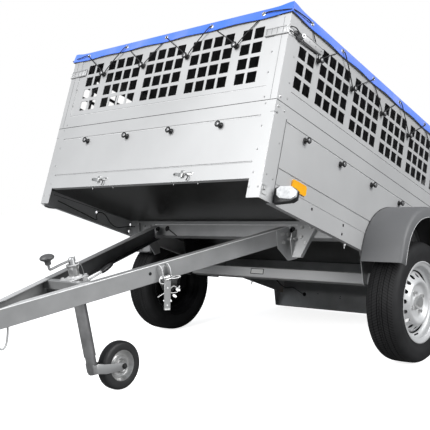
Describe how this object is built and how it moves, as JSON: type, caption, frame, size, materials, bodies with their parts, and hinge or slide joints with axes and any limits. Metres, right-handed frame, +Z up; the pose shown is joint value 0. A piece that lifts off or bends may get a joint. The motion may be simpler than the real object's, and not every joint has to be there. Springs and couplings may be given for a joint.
{
  "type": "utility trailer",
  "caption": "Single-axle box trailer with mesh side panels and a laced cover, tipped back on its tail with the hinged A-frame drawbar on a jockey wheel.",
  "frame": {"origin": "middle of the bounding box on the ground", "axes": "+X forward to the coupling, +Y to the left, +Z up"},
  "size_m": [3.1886, 1.728, 1.5163],
  "materials": {
    "zinc_wall": "galvanised sheet",
    "zinc_frame": "hot-dip galvanised",
    "film_board": "film-faced board",
    "cover_blue": "coated cloth",
    "grey_plastic": "matt",
    "black_plastic": "matt",
    "lamp_white": "clear lens",
    "lamp_amber": "reflector",
    "lamp_red": "lens",
    "plate_blank": "blank",
    "rim_silver": "silver paint",
    "tyre_rubber": "rubber",
    "black_rubber": "rubber",
    "bright_zinc": "bright zinc plate"
  },
  "bodies": {
    "load_body": {"floor_panel": "film_board", "side_wall_left": "zinc_wall", "side_wall_right": "zinc_wall", "front_wall": "zinc_wall", "corner_posts": "zinc_wall", "mesh_panel_left": "zinc_wall", "mesh_panel_right": "zinc_wall", "mesh_panel_front": "zinc_wall", "mesh_panel_rear": "zinc_wall", "crossmembers": "zinc_frame", "light_board": "zinc_frame", "tail_lamps": "lamp_red", "plate_holder": "plate_blank", "cover": "cover_blue", "rope_hooks": "black_plastic", "corner_latches": "bright_zinc", "latch_keepers": "bright_zinc", "front_lamps": "lamp_white", "side_reflectors": "lamp_amber", "hinge_brackets": "zinc_frame", "axle_tube": "zinc_frame", "axle_arms": "zinc_frame", "axle_brackets": "zinc_frame", "mudguards": "grey_plastic"},
    "tailgate": {"tailgate": "zinc_wall"},
    "wheel_left": {"tyre_left": "tyre_rubber", "rim_left": "rim_silver", "hub_left": "bright_zinc"},
    "wheel_right": {"tyre_right": "tyre_rubber", "rim_right": "rim_silver", "hub_right": "bright_zinc"},
    "drawbar": {"drawbar_beams": "zinc_frame", "cross_plate": "zinc_frame", "tongue_plates": "zinc_frame", "pivot_pins": "bright_zinc", "tipping_catches": "bright_zinc", "coupling_head": "bright_zinc", "coupling_handle": "black_plastic", "jockey_clamp": "bright_zinc", "jockey_tube": "zinc_frame", "jockey_crank": "bright_zinc"},
    "jockey_leg": {"jockey_leg": "bright_zinc"},
    "jockey_fork": {"jockey_fork": "zinc_frame"},
    "jockey_wheel": {"jockey_tyre": "black_rubber", "jockey_rim": "rim_silver"}
  },
  "joints": [
    {"name": "drawbar_tip", "type": "hinge", "parent": "load_body", "child": "drawbar", "pos_m": [0.11374, 0, 0.58305], "axis": [0, -1, 0], "range_deg": [0, 29.6]},
    {"name": "tailgate_swing", "type": "hinge", "parent": "load_body", "child": "tailgate", "pos_m": [-1.33176, 0, 0.11779], "axis": [0, -1, 0], "range_deg": [0, 90]},
    {"name": "wheel_left_spin", "type": "hinge", "parent": "load_body", "child": "wheel_left", "pos_m": [-0.3261, 0.7635, 0.27278], "axis": [0, 1, 0], "continuous": true},
    {"name": "wheel_right_spin", "type": "hinge", "parent": "load_body", "child": "wheel_right", "pos_m": [-0.3261, -0.7635, 0.27278], "axis": [0, 1, 0], "continuous": true},
    {"name": "jockey_slide", "type": "slide", "parent": "drawbar", "child": "jockey_leg", "axis": [-0.1786, 0, -0.9839], "range_m": [-0.03, 0.15]},
    {"name": "jockey_swivel", "type": "hinge", "parent": "jockey_leg", "child": "jockey_fork", "pos_m": [0.88357, 0, 0.09572], "axis": [0.1786, 0, 0.9839], "continuous": true},
    {"name": "jockey_spin", "type": "hinge", "parent": "jockey_fork", "child": "jockey_wheel", "pos_m": [0.74865, 0, 0.09988], "axis": [0, 1, 0], "continuous": true}
  ]
}
